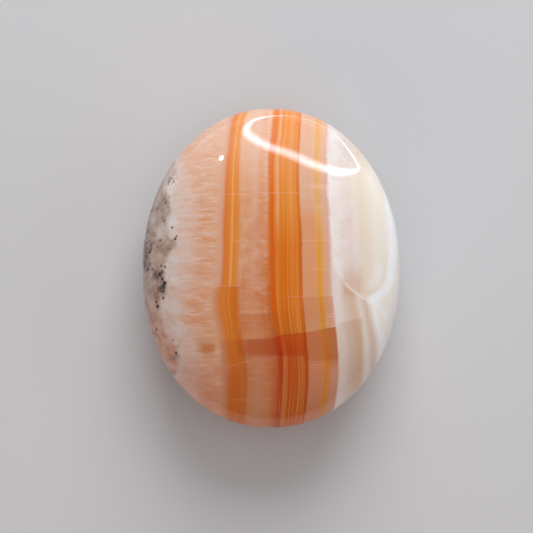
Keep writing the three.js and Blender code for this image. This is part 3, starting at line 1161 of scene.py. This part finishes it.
class PalmStone:
    """The whole object: one polished stone."""

    PIECE = "palm_stone"
    NODE = "stone"
    SLOT = "banded_calcite"
    BODY = "root"
    CELLS = 96  # quads along each side of the six patches that cover the stone
    ROCK_LIMIT = -18.5  # left of this the mesh is twice as fine, for the pits in the host rock
    STAIN = 1.5  # how far out a grain's darkness reaches, in shares of its radius

    PITS = (
        Pit(-21.6, 8.9, 0.26), Pit(-20.9, 6.4, 0.32), Pit(-20.6, 7.0, 0.2), Pit(-24.3, 6.1, 0.26),
        Pit(-23.6, 15.1, 0.26, 0.06, 0.7), Pit(-23.2, 14.3, 0.22, 0.06, 0.8), Pit(-22.3, 15.7, 0.2, 0.0, 0.6),
        Pit(-24.1, 16.4, 0.24, 0.0, 0.5), Pit(-22.6, 13.3, 0.18, 0.0, 0.5), Pit(-25.6, 15.1, 0.22, 0.0, 0.6),
        Pit(-23.8, 11.1, 0.24, 0.05, 0.6), Pit(-23.4, 10.4, 0.28, 0.08, 0.7),
        Pit(-25.0, 13.1, 0.26, 0.0, 0.8), Pit(-26.4, 12.7, 0.3), Pit(-27.2, 8.2, 0.3), Pit(-27.4, 6.7, 0.3),
        Pit(-27.6, 5.6, 0.35), Pit(-26.7, 3.5, 0.34, 0.1), Pit(-27.5, 2.4, 0.35), Pit(-28.0, 1.4, 0.4),
        Pit(-28.0, 0.6, 0.5, 0.12), Pit(-27.1, -0.3, 0.4), Pit(-26.1, -0.2, 0.26), Pit(-26.6, 0.9, 0.28),
        Pit(-24.0, 0.5, 0.26), Pit(-23.2, 0.3, 0.26), Pit(-23.8, -0.7, 0.26), Pit(-24.4, -1.3, 0.34),
        Pit(-23.8, -2.4, 0.34, 0.1), Pit(-23.3, -3.3, 0.48, 0.14), Pit(-23.5, -5.0, 0.26),
        Pit(-23.6, -6.5, 0.3), Pit(-25.2, -7.4, 0.28), Pit(-24.9, -8.4, 0.42, 0.12), Pit(-25.2, -13.5, 0.3),
        Pit(-21.5, -15.7, 0.24, 0.0, 0.7), Pit(-20.4, -17.1, 0.22, 0.0, 0.6), Pit(-20.8, -18.6, 0.32),
        Pit(-25.0, 4.7, 0.2, 0.0, 0.6), Pit(-25.1, 3.6, 0.2, 0.0, 0.6), Pit(-22.4, 19.6, 0.5, 0.2, 0.5),
        Pit(-21.4, 18.9, 0.4, 0.15, 0.5), Pit(-22.6, 18.6, 0.35, 0.12, 0.6),
    )

    def __init__(self, form: StoneForm, finish: PolishedBandedCalcite) -> None:
        """Keeps the stone's shape and finish."""
        self.form = form
        self.finish = finish

    def ball(self) -> tuple[np.ndarray, np.ndarray]:
        """Covers a ball with an even net of quads that has no poles.

        Returns:
            The directions of the net's corners, and the corners of each quad.
        """
        steps = np.tan(np.linspace(-math.pi / 4, math.pi / 4, self.CELLS + 1))
        u, v = np.meshgrid(steps, steps, indexing="ij")
        ones = np.ones_like(u)
        patches = [(ones, u, v), (-ones, v, u), (v, ones, u), (u, -ones, v), (u, v, ones), (v, u, -ones)]
        corners = np.concatenate([np.stack(patch, axis=-1).reshape(-1, 3) for patch in patches])
        corners /= np.linalg.norm(corners, axis=1, keepdims=True)
        _, first, back = np.unique(np.round(corners, 6), axis=0, return_index=True, return_inverse=True)
        row = self.CELLS + 1
        low = (np.arange(self.CELLS)[:, None] * row + np.arange(self.CELLS)).ravel()
        quad = np.stack([low, low + row, low + row + 1, low + 1], axis=1)
        quads = np.concatenate([quad + i * row * row for i in range(len(patches))])
        return corners[first], back.ravel()[quads]

    def mesh(self) -> bpy.types.Mesh:
        """Builds the stone's mesh, with the pits pressed in.

        Returns:
            The mesh, in metres.
        """
        corners, quads = self.ball()
        work = bmesh.new()
        knots = [work.verts.new(direction) for direction in corners]
        for quad in quads.tolist():
            work.faces.new([knots[i] for i in quad])
        work.verts.index_update()
        near_rock = set(np.flatnonzero(self.form.reach(corners)[:, 0] < self.ROCK_LIMIT).tolist())
        edges = [edge for edge in work.edges if all(vert.index in near_rock for vert in edge.verts)]
        bmesh.ops.subdivide_edges(work, edges=edges, cuts=1, use_grid_fill=True)
        directions = np.array([vert.co[:] for vert in work.verts])
        directions /= np.linalg.norm(directions, axis=1, keepdims=True)
        places, dark = self.press(self.form.reach(directions))
        for vert, place in zip(work.verts, places * METRES):
            vert.co = place
        bmesh.ops.recalc_face_normals(work, faces=work.faces)
        mesh = bpy.data.meshes.new(self.PIECE)
        work.to_mesh(mesh)
        work.free()
        mesh.attributes.new("dark_grain", "FLOAT", "POINT").data.foreach_set("value", dark.astype(np.float32))
        mesh.shade_smooth()
        return mesh

    def press(self, places: np.ndarray) -> tuple[np.ndarray, np.ndarray]:
        """Presses the pits into the surface.

        Args:
            places: The mesh's corners.

        Returns:
            The moved corners, and how dark the grain at each is.
        """
        normals = self.form.normals(places)
        dark = np.zeros(len(places))
        depth = np.zeros(len(places))
        for pit in self.PITS:
            middle = np.array((pit.x, pit.y, self.form.face_height(pit.x, pit.y)))
            far = np.linalg.norm(places - middle, axis=1) / pit.radius
            dark = np.maximum(dark, np.clip(self.STAIN - far, 0.0, 1.0) * pit.dark)
            depth = np.maximum(depth, pit.depth * np.clip(1 - far ** 2, 0.0, 1.0))
        return places - normals * depth[:, None], dark

    def build(self) -> bpy.types.Object:
        """Makes the stone, dresses it and puts it in its CAD node's place.

        Returns:
            The finished piece.
        """
        piece = bpy.data.objects.new(self.PIECE, self.mesh())
        bpy.context.scene.collection.objects.link(piece)
        piece.data.materials.append(self.finish.build(self.form))
        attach(piece, self.BODY)
        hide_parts(self.NODE)
        return piece


@dataclass(frozen=True)
class SmoothPaper:
    """Uncoated pale grey paper, rolled smooth: matt, without a gloss of its own."""

    colour: str = "#CBCCCF"
    roughness: float = 0.9  # that of paper
    gloss: float = 0.2  # how strongly it reflects
    tooth: float = 1.5  # the size of its grain, drawn ten times as coarse as the real one so that it shows
    relief: float = 0.1  # how high that stands
    relief_share: float = 0.05  # how much of that shows

    def build(self) -> bpy.types.Material:
        """Makes the material.

        Returns:
            The finished material.
        """
        material = bpy.data.materials.new("smooth paper")
        graph = Graph(material)
        place = graph.add("TexCoord", output=3)
        grain = graph.add("TexNoise", {"Vector": place, "Scale": 1 / (self.tooth * METRES), "Detail": 2.0})
        relief = graph.add("Bump", {
            "Height": grain, "Strength": self.relief_share, "Distance": self.relief * METRES,
        })
        surface = graph.add("BsdfPrincipled", {
            "Base Color": linear(self.colour), "Roughness": self.roughness, "Specular IOR Level": self.gloss,
            "Normal": relief,
        })
        graph.add("OutputMaterial", surface)
        return material


class Softness(Enum):
    """How soft a studio light is, as the side of its square panel in metres."""

    BROAD = 1.4
    SOFT = 0.7


@dataclass(frozen=True)
class Panel:
    """A soft studio light that shines on the stone."""

    name: str  # what it does
    azimuth: float  # where it stands, in degrees from +Y towards +X
    elevation: float  # how high it stands, in degrees
    distance: float  # how far away it is, in metres
    softness: Softness
    watts: float
    colour: str = "#FFFFFF"  # the sRGB colour of its light

    def build(self) -> None:
        """Hangs the light. It isn't mirrored in the polish, so the stone's face stays clear."""
        lamp = bpy.data.lights.new(self.name, "AREA")
        lamp.energy = self.watts
        lamp.size = self.softness.value
        lamp.color = linear(self.colour)[:3]
        light = bpy.data.objects.new(self.name, lamp)
        turn, rise = math.radians(self.azimuth), math.radians(self.elevation)
        aim = Vector((math.sin(turn) * math.cos(rise), math.cos(turn) * math.cos(rise), math.sin(rise)))
        light.location = aim * self.distance
        light.rotation_mode = "QUATERNION"
        light.rotation_quaternion = aim.to_track_quat("Z", "Y")
        light.visible_camera = False
        light.visible_glossy = False
        bpy.context.scene.collection.objects.link(light)


@dataclass(frozen=True)
class MirroredLight:
    """A soft-edged light that only the polish shows, bent so that its image on the face has a set outline."""

    name: str  # what it is
    path: tuple[tuple[float, float, float], ...]  # the image's middle line on the face, as x, y and width
    glow: float  # how bright it is
    colour: str = "#FFFFFF"  # the sRGB colour of its light
    fades: Pair = (0.6, 0.6)  # over how much of the half width it fades, at the right and left of the path
    end_fade: float = 0.0  # over how many stretches of the path it fades at each end
    closed: bool = False  # whether the path returns to its start
    distance: float = 120.0  # how far from the stone's middle it hangs
    steps: int = 8  # how many pieces each stretch of the path is drawn with
    rows: int = 10  # how many pieces it has across

    @property
    def mode(self) -> str:
        """How the path goes on past its ends."""
        return "wrap" if self.closed else "clip"

    def line(self) -> np.ndarray:
        """Draws the path smoothly.

        Returns:
            The points of the middle line, as x, y and width.
        """
        knots = np.array(self.path)
        share = (np.arange(self.steps) / self.steps)[:, None]
        parts = []
        for i in range(len(knots) if self.closed else len(knots) - 1):
            before, here, after, beyond = np.take(knots, (i - 1, i, i + 1, i + 2), axis=0, mode=self.mode)
            cubic = 3 * here - before - 3 * after + beyond
            square = 2 * before - 5 * here + 4 * after - beyond
            parts.append(here + 0.5 * share * (after - before + share * (square + share * cubic)))
        if not self.closed:
            parts.append(knots[-1:])
        return np.concatenate(parts)

    def mirrored(self, form: StoneForm, eye: np.ndarray, flat: np.ndarray) -> np.ndarray:
        """Finds what the eye sees mirrored at places on the face.

        Args:
            form: The stone's shape.
            eye: Where the camera is.
            flat: The places, as x and y.

        Returns:
            The mirrored points, at the light's distance.
        """
        places = np.column_stack([flat, [form.face_height(x, y) for x, y in flat]])
        normals = form.normals(places)
        view = eye - places
        view /= np.linalg.norm(view, axis=1, keepdims=True)
        away = 2 * np.sum(normals * view, axis=1, keepdims=True) * normals - view
        along = np.sum(places * away, axis=1, keepdims=True)
        square = np.sum(places * places, axis=1, keepdims=True)
        reach = -along + np.sqrt(along ** 2 - square + self.distance ** 2)
        return places + away * reach

    def build(self, form: StoneForm, eye: np.ndarray) -> None:
        """Bends and hangs the light.

        Args:
            form: The stone's shape.
            eye: Where the camera is.
        """
        line = self.line()
        count = len(line)
        index = np.arange(count)
        ahead, behind = (np.take(line, index + step, axis=0, mode=self.mode) for step in (1, -1))
        run = (ahead - behind)[:, :2]
        side = run[:, ::-1] * (-1, 1) / np.linalg.norm(run, axis=1, keepdims=True)
        offsets = np.linspace(-1, 1, self.rows + 1)
        flat = line[:, None, :2] + side[:, None] * offsets[:, None] * line[:, None, 2:] / 2
        points = self.mirrored(form, eye, flat.reshape(-1, 2)) * METRES
        right, left = (np.clip((1 + turn * offsets) / fade, 0, 1) for turn, fade in zip((1, -1), self.fades))
        glow = right * right * (3 - 2 * right) * left * left * (3 - 2 * left)
        to_end = np.minimum(index, count - 1 - index) / max(1e-6, self.end_fade * self.steps)
        glow = (glow * np.clip(to_end, float(self.end_fade == 0), 1)[:, None]).ravel()

        ends = index if self.closed else index[:-1]
        low, high = ((end[:, None] * (self.rows + 1) + np.arange(self.rows)).ravel()
                     for end in (ends, (ends + 1) % count))
        mesh = bpy.data.meshes.new(self.name)
        mesh.from_pydata(points.tolist(), [], np.stack([low, high, high + 1, low + 1], axis=1).tolist())
        mesh.attributes.new("glow", "FLOAT", "POINT").data.foreach_set("value", glow.astype(np.float32))
        light = bpy.data.objects.new(self.name, mesh)
        material = bpy.data.materials.new(self.name)
        graph = Graph(material)
        share = graph.add("Attribute", output=2, attribute_name="glow")
        strength = graph.add("Math.MULTIPLY", share, self.glow)
        shine = graph.add("Emission", {"Color": linear(self.colour), "Strength": strength})
        graph.add("OutputMaterial", graph.add("AddShader", shine, graph.add("BsdfTransparent")))
        mesh.materials.append(material)
        light.visible_camera = False
        light.visible_diffuse = False
        light.visible_shadow = False
        bpy.context.scene.collection.objects.link(light)


class Studio:
    """The floor, the lights and the camera."""

    FLOOR_SIDE = 6.0  # metres
    LENS = 135.0
    SENSOR = 36.0
    PIXELS_PER_MM = 4.492  # at the stone's widest line
    CENTRE_IN_IMAGE = (271.0, 268.2)  # where the middle of the stone is in the picture, in pixels
    AIR = "#F4F6FA"  # the colour of the light from all around
    AIR_LIGHT = 0.15

    PANELS = (
        Panel("key", 8.0, 30.0, 1.0, Softness.SOFT, 10.4),
        Panel("overhead", 0.0, 88.0, 1.1, Softness.BROAD, 3.8),
        Panel("low_warm_fill", 205.0, 25.0, 0.9, Softness.SOFT, 2.0, "#FFD2BA"),
        Panel("right_fill", 90.0, 20.0, 1.0, Softness.SOFT, 1.6),
    )
    MIRRORED = (
        MirroredLight("window", (
            (-24.0, 10.0, 18.0), (-19.5, 19.0, 22.0), (-14.0, 23.5, 21.0), (-8.0, 25.5, 21.0),
            (0.0, 24.8, 25.0), (8.0, 24.5, 23.0), (14.0, 22.5, 20.0), (19.5, 18.5, 20.0), (24.0, 10.0, 18.0)),
            1.6, fades=(2.0, 1.0), end_fade=2.0),
        MirroredLight("ring_lamp", (
            (-5.4, 30.0, 2.9), (-3.5, 28.1, 2.9), (-0.2, 26.4, 2.6), (4.1, 24.9, 2.9), (8.5, 22.9, 3.0),
            (12.8, 21.4, 2.6), (16.4, 21.0, 2.4), (19.2, 21.7, 1.1), (18.4, 23.8, 0.5), (17.2, 25.8, 0.42),
            (16.2, 27.2, 0.34), (14.8, 28.8, 0.12), (13.2, 30.2, 0.06), (11.2, 31.4, 0.08), (8.4, 32.6, 0.08),
            (5.0, 33.4, 0.12), (1.5, 33.6, 0.2), (-1.6, 33.2, 0.5), (-4.2, 32.2, 1.3)), 12.0, "#E9EBFF",
            (1.0, 1.0), closed=True, distance=62.0),
        MirroredLight("spot_lamp", ((-11.3, 23.6, 0.6), (-10.9, 24.0, 1.3), (-10.5, 24.4, 0.6)), 22.0),
    )

    def build(self, form: StoneForm) -> None:
        """Sets up the floor, the lights and the camera.

        Args:
            form: The stone's shape, which the camera and the mirrored lights are set by.
        """
        self.build_floor()
        eye = self.build_camera(form)
        for panel in self.PANELS:
            panel.build()
        for light in self.MIRRORED:
            light.build(form, eye)
        world = bpy.data.worlds.new("studio")
        bpy.context.scene.world = world
        world.use_nodes = True
        background = world.node_tree.nodes["Background"]
        background.inputs["Color"].default_value = linear(self.AIR)
        background.inputs["Strength"].default_value = self.AIR_LIGHT
        bpy.context.scene.view_settings.view_transform = "Standard"

    def build_floor(self) -> None:
        """Lays the floor under the stone."""
        half = self.FLOOR_SIDE / 2
        corners = [(-half, -half, 0), (half, -half, 0), (half, half, 0), (-half, half, 0)]
        mesh = bpy.data.meshes.new("floor")
        mesh.from_pydata(corners, [], [(0, 1, 2, 3)])
        floor = bpy.data.objects.new("floor", mesh)
        mesh.materials.append(SmoothPaper().build())
        bpy.context.scene.collection.objects.link(floor)

    def build_camera(self, form: StoneForm) -> np.ndarray:
        """Hangs the camera over the stone, looking straight down.

        Args:
            form: The stone's shape.

        Returns:
            Where the camera is, in millimetres.
        """
        view_width = IMAGE_PIXELS / self.PIXELS_PER_MM
        height = form.girdle + self.LENS * view_width / self.SENSOR
        middle = IMAGE_PIXELS / 2
        x = (middle - self.CENTRE_IN_IMAGE[0]) / self.PIXELS_PER_MM
        y = (self.CENTRE_IN_IMAGE[1] - middle) / self.PIXELS_PER_MM
        camera = bpy.data.objects.new("camera", bpy.data.cameras.new("camera"))
        camera.data.lens = self.LENS
        camera.data.sensor_width = self.SENSOR
        camera.location = Vector((x, y, height)) * METRES
        bpy.context.scene.collection.objects.link(camera)
        bpy.context.scene.camera = camera
        return np.array((x, y, height))


def main() -> None:
    """Builds the studio and the stone, and reports them."""
    logging.basicConfig(level=logging.INFO, format="%(name)s: %(message)s")
    low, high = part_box(PalmStone.NODE)
    size = (high - low) / METRES
    form = StoneForm(size.x, size.y, size.z)
    Studio().build(form)
    piece = PalmStone(form, PolishedBandedCalcite()).build()
    log.info("%s: %d faces, %.1f x %.1f x %.1f mm", piece.name, len(piece.data.polygons), *size)
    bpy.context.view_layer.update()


if __name__ == "__main__":
    main()
